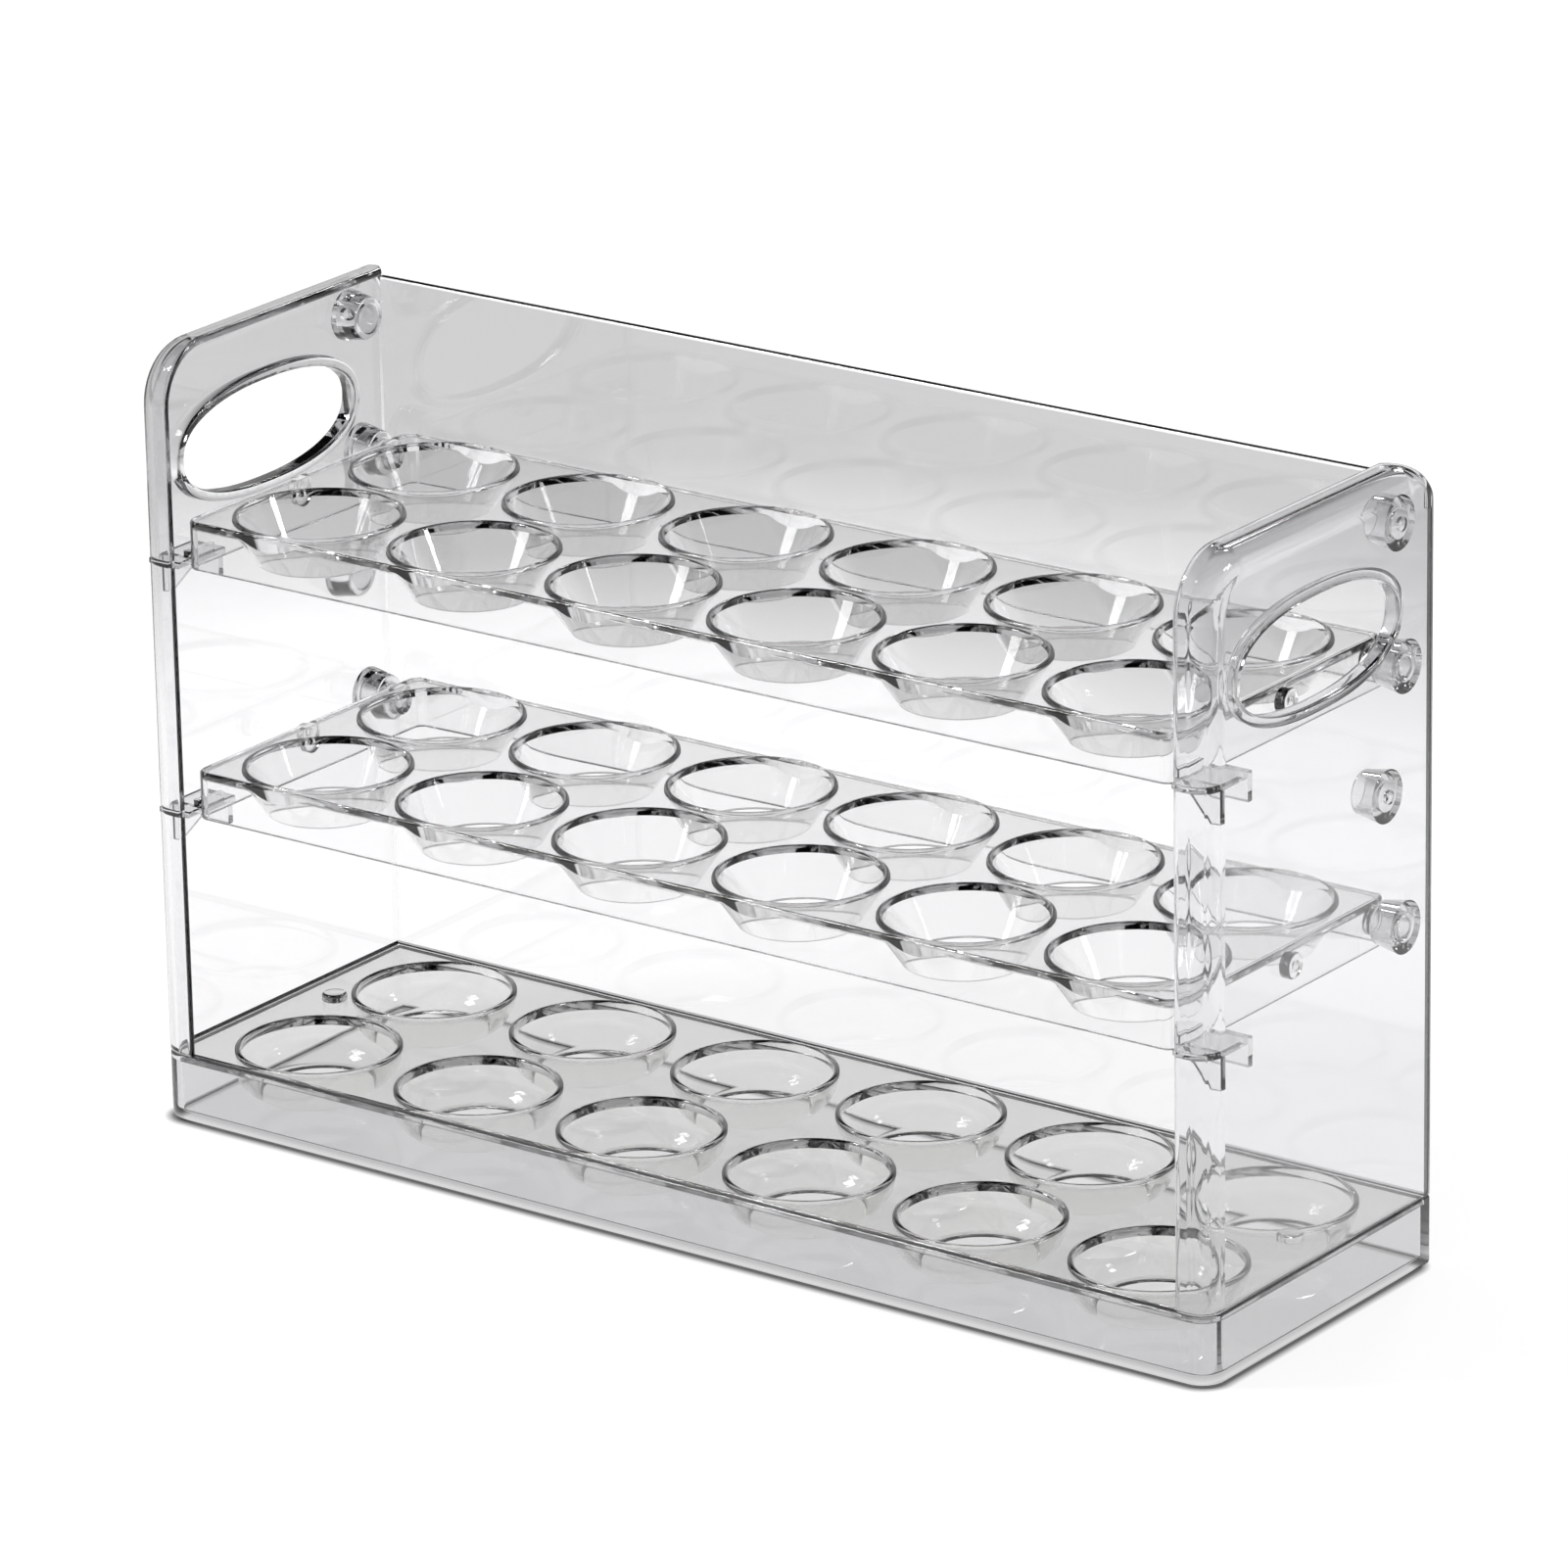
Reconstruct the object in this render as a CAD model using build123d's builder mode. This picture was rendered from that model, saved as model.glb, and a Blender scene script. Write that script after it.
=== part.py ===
from build123d import *
import os
from math import acos, cos, degrees, radians, sin

os.makedirs("parts", exist_ok=True)

# Clear moulded holder for thirty-six eggs, three tiers of six by two.
# A shallow base carries a drop-in egg plate, two lipped side panels and a back panel.
# The two upper trays hinge on pins in the side panels near the back and flip up with their front edge.
# Millimetres, Z up, X along the length, front towards -Y, origin under the middle of the base.

# Overall size, and the heights of the tiers one above the other
length = 323.0
depth = 97.5
base_height = 18.2
bottom_tier = 77.2
tier_pitch = 66.4
side_rise = 44.7
back_drop = 5.0

# Sheet thicknesses
wall = 2.2
plate = 2.0
skirt_wall = 1.8

# Rounded corners, seen from above and from the end
front_corner = 6.5
rear_corner = 1.5
top_front_corner = 16.0
top_rear_corner = 10.0
base_edge = 1.2

# Step of the base rim for the egg plate, and the groove for the tongues of the panels
plate_step = 1.0
tongue = 1.0
tongue_depth = 5.0
joint_gap = 0.05
seat_gap = 0.1

# In-turned lip that runs up the front of a side panel, over its top and down round the rear corner
lip_reach = 10.2
lip_overlap = 2.0
lip_tail = 2.0

# Channel of a side panel that holds the edge of the back panel
channel_reach = 3.0
channel_rib = 1.6
channel_lip = 1.1

# Egg cups, open below
columns = 6
rows = 2
cup_depth = 11.4
cup_hole = 13.9
cup_wall = 1.5
rim_bead = 0.6
tray_mouth = 20.4
tray_end_margin = 4.0
tray_row_margin = 0.25
bowl_mouth = 20.1
bowl_bulge = 2.0
bowl_end_margin = 8.1
bowl_wall_gap = 0.15

# Flip trays and the room round them
tray_end_gap = 1.9
tray_front_gap = 1.05
tray_rear_gap = 1.3
tray_pass_gap = 1.7
tray_corner = 4.0
tray_height = 12.7
tray_rear_round = 1.5

# Hinge pins, catch studs and their tapered bosses
hinge_setback = 7.7
hinge_drop = 4.4
pin_radius = 3.8
pin_core = 2.3
pin_core_depth = 6.5
pin_clearance = 0.06
pin_end_gap = 0.4
boss_root_wall = 3.0
boss_tip_wall = 1.65
boss_face_gap = 0.3
vent_radius = 1.8
stud_radius = 3.4
stud_length = 2.6
stud_core = 1.2
stud_core_depth = 1.5
catch_radius = 36.8
top_extra_angle = 8.0

# Finger holes near the top of the side panels
grip_y = -1.0
grip_drop = 33.5
grip_half_length = 34.0
grip_half_height = 13.2
grip_rim = 2.6
grip_in = 2.4

# Rest ledges near the front corners of the trays, and the lugs of the trays that rest on them
ledge_width = 9.3
ledge_depth = 17.45
ledge_thickness = 1.8
ledge_lug_gap = 0.2
flange_wall = 1.8
flange_height = 6.0
gusset_setback = 4.55
gusset_wall = 1.5
gusset_height = 8.3
gusset_foot = 2.0
lug_reach = 1.5
lug_height = 2.5
lug_setback = 2.55
lug_length = 10.0

# Locating buttons near the ends of the egg plate
button_setback = 11.7
button_y = 5.0
button_radius = 3.3
button_height = 2.0
button_edge = 0.8

# Heights worked out from the sizes above
middle_tray_z = base_height + bottom_tier
top_tray_z = middle_tray_z + tier_pitch
side_height = top_tray_z + side_rise
back_height = side_height - back_drop
egg_plate_z = base_height - wall
groove_z = base_height - tongue_depth - seat_gap
lip_end_z = side_height - top_rear_corner - lip_tail
grip_z = side_height - grip_drop

# Housing places, seen from above
half_length = length / 2
front_y = -depth / 2
rear_y = depth / 2
inner_x = half_length - wall
inner_front_y = front_y + wall
lip_x = half_length - lip_reach
back_inner_y = rear_y - joint_gap - wall
base_wall = wall + plate_step
tongue_inset = wall - joint_gap - tongue
plate_inset = wall + seat_gap
button_x = half_length - plate_inset - button_setback

# Tray outline and cup spacing
tray_end = lip_x - tray_end_gap
tray_front_y = inner_front_y + tray_front_gap
tray_rear_y = back_inner_y - tray_rear_gap
tray_y = (tray_front_y + tray_rear_y) / 2
tray_length = 2 * tray_end
tray_depth = tray_rear_y - tray_front_y
tray_rim = tray_mouth + cup_wall
tray_pitch = (tray_length - 2 * tray_end_margin - 2 * tray_rim) / (columns - 1)
tray_row_pitch = (tray_depth - 2 * tray_row_margin - 2 * tray_rim) / (rows - 1)
bowl_rim = bowl_mouth + cup_wall
bowl_pitch = (length - 2 * plate_inset - 2 * bowl_end_margin - 2 * bowl_rim) / (columns - 1)
bowl_row_pitch = (depth - 2 * base_wall - 2 * bowl_wall_gap - 2 * bowl_rim) / (rows - 1)

# Hinges and catches: the middle tray flips until the top one, a little steeper, lies just clear of it
bore_radius = pin_radius + pin_clearance
boss_face = tray_end + stud_length + boss_face_gap
pin_length = inner_x - pin_end_gap - tray_end
hinge_y = tray_rear_y - hinge_setback
stud_y = hinge_y - catch_radius
middle_flip = degrees(acos((tray_height + rim_bead + tray_pass_gap) / tier_pitch))
flips = ((middle_tray_z, middle_flip), (top_tray_z, middle_flip + top_extra_angle))

# Ledge places, seen from above
ledge_x = inner_x - ledge_width
ledge_rear_y = inner_front_y + ledge_depth
gusset_y = inner_front_y + gusset_setback
lug_y = inner_front_y + lug_setback


def plan_outline(inset):
    """Outline of the whole holder from above: round front corners, square rear corners."""
    with BuildSketch(mode=Mode.PRIVATE) as outline:
        Rectangle(length - 2 * inset, depth - 2 * inset)
        fillet(outline.vertices().group_by(Axis.Y)[0], front_corner - inset)
    return outline.sketch


def tray_outline(inset):
    """Outline of a flip tray from above, moved in by a wall."""
    with BuildSketch(mode=Mode.PRIVATE) as outline:
        with Locations((0, tray_y)):
            RectangleRounded(tray_length - 2 * inset, tray_depth - 2 * inset, tray_corner - inset)
    return outline.sketch


def cup_places(pitch, row_pitch, middle_y, z):
    """Places of the egg cups, six along and two deep."""
    grid = GridLocations(pitch, row_pitch, columns, rows)
    return [Location((0, middle_y, z)) * place for place in grid]


# Base: a shallow open box with a step for the egg plate and a groove for the tongues of the panels
with BuildPart() as base_box:
    with BuildSketch():
        add(plan_outline(0))
    extrude(amount=base_height)
    fillet(base_box.edges().filter_by(Axis.Z).group_by(Axis.Y)[-1], rear_corner)
    fillet(base_box.faces().sort_by(Axis.Z)[0].edges(), base_edge)
    with BuildSketch(Plane.XY.offset(wall)):
        add(plan_outline(base_wall))
    extrude(amount=base_height, mode=Mode.SUBTRACT)
    with BuildSketch(Plane.XY.offset(egg_plate_z)):
        add(plan_outline(wall))
    extrude(amount=base_height, mode=Mode.SUBTRACT)
    with BuildSketch(Plane.XY.offset(groove_z)):
        add(plan_outline(tongue_inset - joint_gap))
        add(plan_outline(tongue_inset + tongue + joint_gap), mode=Mode.SUBTRACT)
        with Locations((0, front_y)):
            Rectangle(2 * (lip_x - joint_gap), 2 * base_wall, mode=Mode.SUBTRACT)
    extrude(amount=base_height, mode=Mode.SUBTRACT)

base_box.part.label = "base_box"
export_step(base_box.part, "parts/base_box.step")


# Bowl of the bottom tier: a round wall that curves in to an open bottom
with BuildPart() as bowl:
    with BuildSketch(Plane.XZ):
        with BuildLine():
            SagittaArc((bowl_mouth, 0), (cup_hole, -cup_depth), bowl_bulge)
            Line((cup_hole, -cup_depth), (cup_hole + cup_wall, -cup_depth))
            SagittaArc((cup_hole + cup_wall, -cup_depth), (bowl_rim, 0), -bowl_bulge)
            Line((bowl_rim, 0), (bowl_mouth, 0))
        make_face()
    revolve(axis=Axis.Z)
    Torus(bowl_mouth + cup_wall / 2, rim_bead)


# Egg plate of the bottom tier: lies on the step inside the base rim and locks the tongues in their groove
bowl_places = cup_places(bowl_pitch, bowl_row_pitch, 0, base_height)

with BuildPart() as bottom_egg_plate:
    with BuildSketch(Plane.XY.offset(egg_plate_z)):
        add(plan_outline(plate_inset))
    extrude(amount=wall)
    with Locations(*bowl_places):
        Cylinder(bowl_mouth + cup_wall / 2, 2 * wall, mode=Mode.SUBTRACT)
        add(bowl.part)
    with Locations((button_x, button_y, base_height), (-button_x, button_y, base_height)):
        Cylinder(button_radius, button_height, align=(Align.CENTER, Align.CENTER, Align.MIN))
    fillet(bottom_egg_plate.faces().filter_by(Plane.XY).sort_by(Axis.Z)[-2:].edges(), button_edge)

bottom_egg_plate.part.label = "bottom_egg_plate"
export_step(bottom_egg_plate.part, "parts/bottom_egg_plate.step")


# Back panel: a flat sheet with thinned side edges, notched top corners and a tongue below
with BuildPart() as back_panel:
    with BuildSketch(Plane.XZ.offset(-back_inner_y)):
        with Locations((0, base_height)):
            Rectangle(2 * (inner_x - seat_gap), back_height - base_height, align=(Align.CENTER, Align.MIN))
        with Locations((lip_x - seat_gap, back_height), (-half_length, back_height)):
            Rectangle(
                half_length - lip_x + seat_gap,
                back_height - lip_end_z + seat_gap,
                align=(Align.MIN, Align.MAX),
                mode=Mode.SUBTRACT,
            )
    extrude(amount=-wall)
    with BuildSketch(Plane.XY.offset(base_height)):
        with Locations((inner_x - channel_reach - seat_gap, rear_y), (-half_length, rear_y)):
            Rectangle(
                half_length - inner_x + channel_reach + seat_gap,
                2 * (channel_lip + joint_gap),
                align=(Align.MIN, Align.CENTER),
            )
    extrude(amount=back_height, mode=Mode.SUBTRACT)
    with BuildSketch(Plane.XY.offset(base_height)):
        with Locations((0, rear_y - tongue_inset)):
            Rectangle(2 * (inner_x - channel_reach), tongue, align=(Align.CENTER, Align.MAX))
    extrude(amount=-tongue_depth)

back_panel.part.label = "back_panel"
export_step(back_panel.part, "parts/back_panel.step")


# Right side panel: thin sheet, L-shaped lip swept round three sides, bosses, ledges and a rimmed finger hole
with BuildPart() as right_side_panel:
    with BuildLine(Plane.YZ.offset(half_length)) as lip_path:
        FilletPolyline(
            (front_y, base_height),
            (front_y, side_height),
            (rear_y, side_height),
            (rear_y, lip_end_z),
            radius=[top_front_corner, top_rear_corner],
        )
    with BuildSketch(Plane.XY.offset(base_height)):
        add(plan_outline(0))
        add(plan_outline(wall), mode=Mode.SUBTRACT)
        with Locations((lip_x, front_y)):
            Rectangle(lip_reach, front_corner + lip_overlap, align=Align.MIN, mode=Mode.INTERSECT)
    sweep(path=lip_path.line)
    with BuildSketch(Plane.YZ.offset(inner_x)) as sheet:
        with Locations((0, base_height)):
            Rectangle(
                depth - 2 * front_corner,
                side_height - front_corner - base_height,
                align=(Align.CENTER, Align.MIN),
            )
        upper_front, upper_rear = sheet.vertices().group_by(Axis.Y)[-1].sort_by(Axis.X)
        fillet(upper_front, top_front_corner - front_corner)
        fillet(upper_rear, top_rear_corner - front_corner)
        with Locations((0, base_height)):
            Rectangle(rear_y, lip_end_z - base_height, align=Align.MIN)
    extrude(amount=wall)
    # Channel for the back panel: a rib in front of it and a thin lip behind it
    with BuildSketch(Plane.XY.offset(base_height + seat_gap)):
        with Locations((inner_x, back_inner_y - joint_gap)):
            Rectangle(channel_reach, channel_rib, align=Align.MAX)
        with Locations((inner_x, rear_y)):
            Rectangle(channel_reach, channel_lip, align=Align.MAX)
    extrude(amount=lip_end_z - base_height - seat_gap)
    # Tongue under the sheet and the lip
    with BuildSketch(Plane.XY.offset(base_height)):
        add(plan_outline(tongue_inset))
        add(plan_outline(tongue_inset + tongue), mode=Mode.SUBTRACT)
        with Locations((lip_x, front_y)):
            Rectangle(lip_reach, depth - 2 * base_wall, align=Align.MIN, mode=Mode.INTERSECT)
    extrude(amount=-tongue_depth)
    # Hinge and catch bosses of both trays, tapered outside and blind against the sheet
    for tray_top, flip_angle in flips:
        hinge_z = tray_top - hinge_drop
        catch_y = hinge_y - catch_radius * cos(radians(flip_angle))
        catch_z = hinge_z + catch_radius * sin(radians(flip_angle))
        with Locations((inner_x, hinge_y, hinge_z), (inner_x, catch_y, catch_z)):
            Cone(
                bore_radius + boss_root_wall,
                bore_radius + boss_tip_wall,
                inner_x - boss_face,
                rotation=(0, -90, 0),
                align=(Align.CENTER, Align.CENTER, Align.MIN),
            )
        with BuildSketch(Plane.YZ.offset(boss_face)):
            with Locations((hinge_y, hinge_z), (catch_y, catch_z)):
                Circle(bore_radius)
        extrude(amount=inner_x - boss_face, mode=Mode.SUBTRACT)
        with BuildSketch(Plane.YZ.offset(inner_x)):
            with Locations((catch_y, catch_z)):
                Circle(vent_radius)
        extrude(amount=wall, mode=Mode.SUBTRACT)
    # Finger hole with a raised rim on the inside
    with BuildSketch(Plane.YZ.offset(inner_x - grip_in)):
        with Locations((grip_y, grip_z)):
            Ellipse(grip_half_length + grip_rim, grip_half_height + grip_rim)
    extrude(amount=grip_in)
    with BuildSketch(Plane.YZ.offset(inner_x - grip_in)):
        with Locations((grip_y, grip_z)):
            Ellipse(grip_half_length, grip_half_height)
    extrude(amount=grip_in + wall, mode=Mode.SUBTRACT)
    # Ledges: a shelf level with the underside of the tray, a flange down its rear end and a tapered gusset
    for tray_top, _ in flips:
        shelf_z = tray_top - tray_height + ledge_thickness
        with BuildSketch(Plane.XY.offset(shelf_z)):
            with Locations((ledge_x, inner_front_y)):
                Rectangle(ledge_width, ledge_depth, align=Align.MIN)
        extrude(amount=-ledge_thickness)
        with BuildSketch(Plane.XZ.offset(-ledge_rear_y)):
            with Locations((inner_x, shelf_z - ledge_thickness)):
                Rectangle(ledge_width, flange_height, align=Align.MAX)
        extrude(amount=flange_wall)
        with BuildSketch(Plane.XZ.offset(-gusset_y)):
            with Locations((inner_x, shelf_z - ledge_thickness)):
                Polygon(
                    (0, 0),
                    (-ledge_width, 0),
                    (-gusset_foot, -gusset_height),
                    (0, -gusset_height),
                    align=None,
                )
        extrude(amount=-gusset_wall)

right_side_panel.part.label = "right_side_panel"
export_step(right_side_panel.part, "parts/right_side_panel.step")


# Left side panel: the right one mirrored
with BuildPart() as left_side_panel:
    mirror(right_side_panel.part, about=Plane.YZ)

left_side_panel.part.label = "left_side_panel"
export_step(left_side_panel.part, "parts/left_side_panel.step")


# Cup of a flip tray: a cone that ends in an open ring
with BuildPart() as cup:
    with BuildSketch(Plane.XZ):
        with BuildLine():
            Polyline(
                (tray_mouth, 0),
                (cup_hole, -cup_depth),
                (cup_hole + cup_wall, -cup_depth),
                (tray_rim, -plate),
                (tray_rim, 0),
                close=True,
            )
        make_face()
    revolve(axis=Axis.Z)
    Torus(tray_mouth + cup_wall / 2, rim_bead)


def flip_tray(tray_top):
    """Tray with a skirt, twelve open cups, two hollow hinge pins, two catch studs and two rest lugs."""
    cup_spots = cup_places(tray_pitch, tray_row_pitch, tray_y, tray_top)
    hinge_z = tray_top - hinge_drop
    lug_z = tray_top - tray_height + ledge_thickness + ledge_lug_gap
    with BuildPart() as tray:
        with BuildSketch(Plane.XY.offset(tray_top)):
            add(tray_outline(0))
        extrude(amount=-tray_height)
        with BuildSketch(Plane.YZ.offset(-half_length)):
            with Locations((tray_rear_y, tray_top)):
                Rectangle(tray_rear_round, tray_rear_round, align=Align.MAX)
            with Locations((tray_rear_y - tray_rear_round, tray_top - tray_rear_round)):
                Circle(tray_rear_round, mode=Mode.SUBTRACT)
        extrude(amount=length, mode=Mode.SUBTRACT)
        with BuildSketch(Plane.XY.offset(tray_top - plate)):
            add(tray_outline(skirt_wall))
        extrude(amount=-tray_height, mode=Mode.SUBTRACT)
        with Locations(*cup_spots):
            Cylinder(tray_mouth + cup_wall / 2, 2 * plate, mode=Mode.SUBTRACT)
            add(cup.part)
        for side in (-1, 1):
            with BuildSketch(Plane.YZ.offset(side * (tray_end - skirt_wall))):
                with Locations((hinge_y, hinge_z)):
                    Circle(pin_radius)
            extrude(amount=side * (skirt_wall + pin_length))
            with BuildSketch(Plane.YZ.offset(side * (tray_end + pin_length))):
                with Locations((hinge_y, hinge_z)):
                    Circle(pin_core)
            extrude(amount=-side * pin_core_depth, mode=Mode.SUBTRACT)
            with BuildSketch(Plane.YZ.offset(side * (tray_end - skirt_wall))):
                with Locations((stud_y, hinge_z)):
                    Circle(stud_radius)
            extrude(amount=side * (skirt_wall + stud_length))
            with BuildSketch(Plane.YZ.offset(side * (tray_end + stud_length))):
                with Locations((stud_y, hinge_z)):
                    Circle(stud_core)
            extrude(amount=-side * stud_core_depth, mode=Mode.SUBTRACT)
            with BuildSketch(Plane.YZ.offset(side * (tray_end - skirt_wall))):
                with Locations((lug_y, lug_z)):
                    Rectangle(lug_length, lug_height, align=Align.MIN)
            extrude(amount=side * (skirt_wall + lug_reach))
    return tray


middle_flip_tray = flip_tray(middle_tray_z)
middle_flip_tray.part.label = "middle_flip_tray"
export_step(middle_flip_tray.part, "parts/middle_flip_tray.step")

top_flip_tray = flip_tray(top_tray_z)
top_flip_tray.part.label = "top_flip_tray"
export_step(top_flip_tray.part, "parts/top_flip_tray.step")
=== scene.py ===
from math import acos, cos, pi, radians, sin, tan

import bmesh
import bpy
from mathutils import Matrix, Vector


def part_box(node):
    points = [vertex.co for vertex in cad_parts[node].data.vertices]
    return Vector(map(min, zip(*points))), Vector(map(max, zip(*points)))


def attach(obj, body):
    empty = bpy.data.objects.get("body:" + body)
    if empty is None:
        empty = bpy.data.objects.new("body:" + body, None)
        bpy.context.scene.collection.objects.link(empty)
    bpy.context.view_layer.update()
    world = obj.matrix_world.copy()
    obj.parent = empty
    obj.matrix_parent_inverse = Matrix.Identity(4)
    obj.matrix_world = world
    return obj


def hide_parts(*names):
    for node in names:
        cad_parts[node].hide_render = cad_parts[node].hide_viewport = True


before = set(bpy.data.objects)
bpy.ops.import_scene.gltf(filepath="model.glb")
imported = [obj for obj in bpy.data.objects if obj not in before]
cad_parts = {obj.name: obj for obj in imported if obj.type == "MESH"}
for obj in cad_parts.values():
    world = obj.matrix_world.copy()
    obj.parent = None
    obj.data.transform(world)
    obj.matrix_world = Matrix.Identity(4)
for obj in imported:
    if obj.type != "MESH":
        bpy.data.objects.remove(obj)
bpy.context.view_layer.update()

# Base box
# The real base is a shallow open box of clear polystyrene, injection moulded in one shot. Its rim has an
# inner step that carries the egg plate, and the upright panels stand on its round top edge.
MM = 0.001
base_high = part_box("base_box")[1]
half_length = base_high[0] / MM
half_depth = base_high[1] / MM
rim_z = base_high[2] / MM
wall = 2.2
plate_step = 1.0
front_corner = 6.5
rear_corner = 1.5
base_edge = 1.2
rim_round = 0.7
middle_inset = 30


def rounded(corners, closed=True, steps=4):
    """A 2-D outline from corners (u, v, radius), where each corner becomes an arc of its radius."""
    points = []
    for i, (u, v, radius) in enumerate(corners):
        here = Vector((u, v))
        if radius == 0 or (not closed and i in (0, len(corners) - 1)):
            points.append(here)
            continue
        back = (Vector(corners[i - 1][:2]) - here).normalized()
        ahead = (Vector(corners[(i + 1) % len(corners)][:2]) - here).normalized()
        half = back.angle(ahead) / 2
        centre = here + (back + ahead).normalized() * radius / sin(half)
        first = here + back * radius / tan(half) - centre
        last = here + ahead * radius / tan(half) - centre
        sweep = -first.angle_signed(last)
        for k in range(steps + 1):
            points.append(centre + Matrix.Rotation(sweep * k / steps, 2) @ first)
    return points


def plan_loop(inset, z, steps=8):
    """The holder's outline from above at one height, moved in by a wall."""
    corners = (
        (1, -1, front_corner, -90), (1, 1, rear_corner, 0),
        (-1, 1, rear_corner, 90), (-1, -1, front_corner, 180),
    )
    loop = []
    for side, end, radius, start in corners:
        radius = max(radius - inset, 0.15)
        x = side * (half_length - inset - radius)
        y = end * (half_depth - inset - radius)
        for k in range(steps + 1):
            turn = radians(start + 90 * k / steps)
            loop.append((x + radius * cos(turn), y + radius * sin(turn), z))
    return loop


def new_piece(name, vertices, faces):
    """A mesh object from points in millimetres, welded and with its faces turned outwards."""
    mesh = bpy.data.meshes.new(name)
    mesh.from_pydata([Vector(v) * MM for v in vertices], [], faces)
    work = bmesh.new()
    work.from_mesh(mesh)
    bmesh.ops.remove_doubles(work, verts=work.verts, dist=1e-7)
    bmesh.ops.recalc_face_normals(work, faces=work.faces)
    work.to_mesh(mesh)
    work.free()
    piece = bpy.data.objects.new(name, mesh)
    bpy.context.scene.collection.objects.link(piece)
    return piece


def loft(name, loops, ring=False):
    """A closed solid through loops of equal length: capped at both ends, or joined end to end."""
    count = len(loops[0])
    faces = []
    for a in range(len(loops) - (0 if ring else 1)):
        b = (a + 1) % len(loops)
        for i in range(count):
            j = (i + 1) % count
            faces.append((a * count + i, a * count + j, b * count + j, b * count + i))
    if not ring:
        faces.append(tuple(range(count)))
        faces.append(tuple(range((len(loops) - 1) * count, len(loops) * count)))
    return new_piece(name, [v for loop in loops for v in loop], faces)


def settle(piece):
    """Turns a piece's live modifiers into its plain mesh."""
    bpy.context.view_layer.update()
    seen = piece.evaluated_get(bpy.context.evaluated_depsgraph_get())
    mesh = bpy.data.meshes.new_from_object(seen)
    piece.modifiers.clear()
    piece.data = mesh


def work_with(piece, tool, operation):
    """Joins a second solid to a piece or cuts it out, and uses the second one up."""
    modifier = piece.modifiers.new(operation, "BOOLEAN")
    modifier.operation = operation
    modifier.solver = "EXACT"
    modifier.object = tool
    settle(piece)
    bpy.data.objects.remove(tool)


def finish_piece(piece, node, body, plastic):
    """Smooth shading that keeps flat walls flat, the plastic, and the piece's place in the frame."""
    piece.data.materials.clear()
    piece.data.materials.append(plastic)
    for face in piece.data.polygons:
        face.material_index = 0
        face.use_smooth = True
    piece.data.set_sharp_from_angle(angle=radians(40))
    weighted = piece.modifiers.new("flat walls", "WEIGHTED_NORMAL")
    weighted.keep_sharp = True
    weighted.weight = 100
    settle(piece)
    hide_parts(node)
    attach(piece, body)


def linear(hex_colour):
    """A colour written as sRGB hex, as linear red, green, blue and alpha."""
    channels = [int(hex_colour[i:i + 2], 16) / 255 for i in (1, 3, 5)]
    return [c / 12.92 if c <= 0.04045 else ((c + 0.055) / 1.055) ** 2.4 for c in channels] + [1.0]


def add_node(tree, kind, settings=None, links=None):
    """Adds one node: settings are its own values and its input values, links are its inputs' sources."""
    node = tree.nodes.new(kind)
    for key, value in (settings or {}).items():
        if hasattr(node, str(key)):
            setattr(node, key, value)
        else:
            node.inputs[key].default_value = value
    for key, source in (links or {}).items():
        tree.links.new(source, node.inputs[key])
    return node


def clear_polystyrene(name, tint, shade, smoke, wave_mm, polish):
    """Clear polystyrene, injection moulded in a polished steel tool.

    The eye sees a water-clear wall with a slight waviness from shrinkage and a haze of fine rub marks, and
    edges that turn dark where light runs a long way inside the sheet: smoke is that loss per metre. The
    waves are wave_mm wide, and polish is the roughness between the rub marks.
    """
    plastic = bpy.data.materials.new(name)
    plastic.use_nodes = True
    tree = plastic.node_tree
    tree.nodes.clear()
    place = add_node(tree, "ShaderNodeTexCoord").outputs["Object"]
    wave_scale = 1 / (wave_mm * MM)
    wave = add_node(tree, "ShaderNodeTexNoise", {"Scale": wave_scale, "Detail": 1.0}, {"Vector": place})
    # Rub marks about 3 mm long and 0.5 mm wide, along the length of the holder
    rubbed = add_node(tree, "ShaderNodeMapping", {"Scale": (1.0, 6.0, 6.0)}, {"Vector": place})
    rub = add_node(
        tree, "ShaderNodeTexNoise", {"Scale": 1 / (3.0 * MM), "Detail": 3.0}, {"Vector": rubbed.outputs[0]},
    )
    rough = add_node(
        tree, "ShaderNodeMapRange",
        {"From Min": 0.35, "From Max": 0.75, "To Min": polish, "To Max": polish + 0.03},
        {"Value": rub.outputs["Fac"]},
    )
    cast = add_node(tree, "ShaderNodeMix", {"data_type": "RGBA"}, {"Factor": wave.outputs["Fac"]})
    cast.inputs[6].default_value = linear(tint)
    cast.inputs[7].default_value = linear(shade)
    bump = add_node(
        tree, "ShaderNodeBump", {"Strength": 0.03, "Distance": 0.01 * MM}, {"Height": wave.outputs["Fac"]},
    )
    shader = add_node(
        tree, "ShaderNodeBsdfPrincipled",
        {"IOR": 1.57, "Transmission Weight": 1.0},
        {"Base Color": cast.outputs[2], "Roughness": rough.outputs[0], "Normal": bump.outputs[0]},
    )
    inside = add_node(tree, "ShaderNodeVolumeAbsorption", {"Color": linear("#4A4A50"), "Density": smoke})
    add_node(
        tree, "ShaderNodeOutputMaterial", {}, {"Surface": shader.outputs[0], "Volume": inside.outputs[0]},
    )
    return plastic


def base_profile():
    """Inset and height from the middle of the underside, round the rim, to the middle of the floor."""
    inner = wall + plate_step
    step_z = rim_z - wall
    return rounded([
        (middle_inset, 0, 0), (0, 0, base_edge), (0, rim_z, rim_round), (wall, rim_z, 0.3),
        (wall, step_z, 0.1), (inner, step_z, 0.2), (inner, wall, 0.8), (middle_inset, wall, 0),
    ], closed=False)


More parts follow.
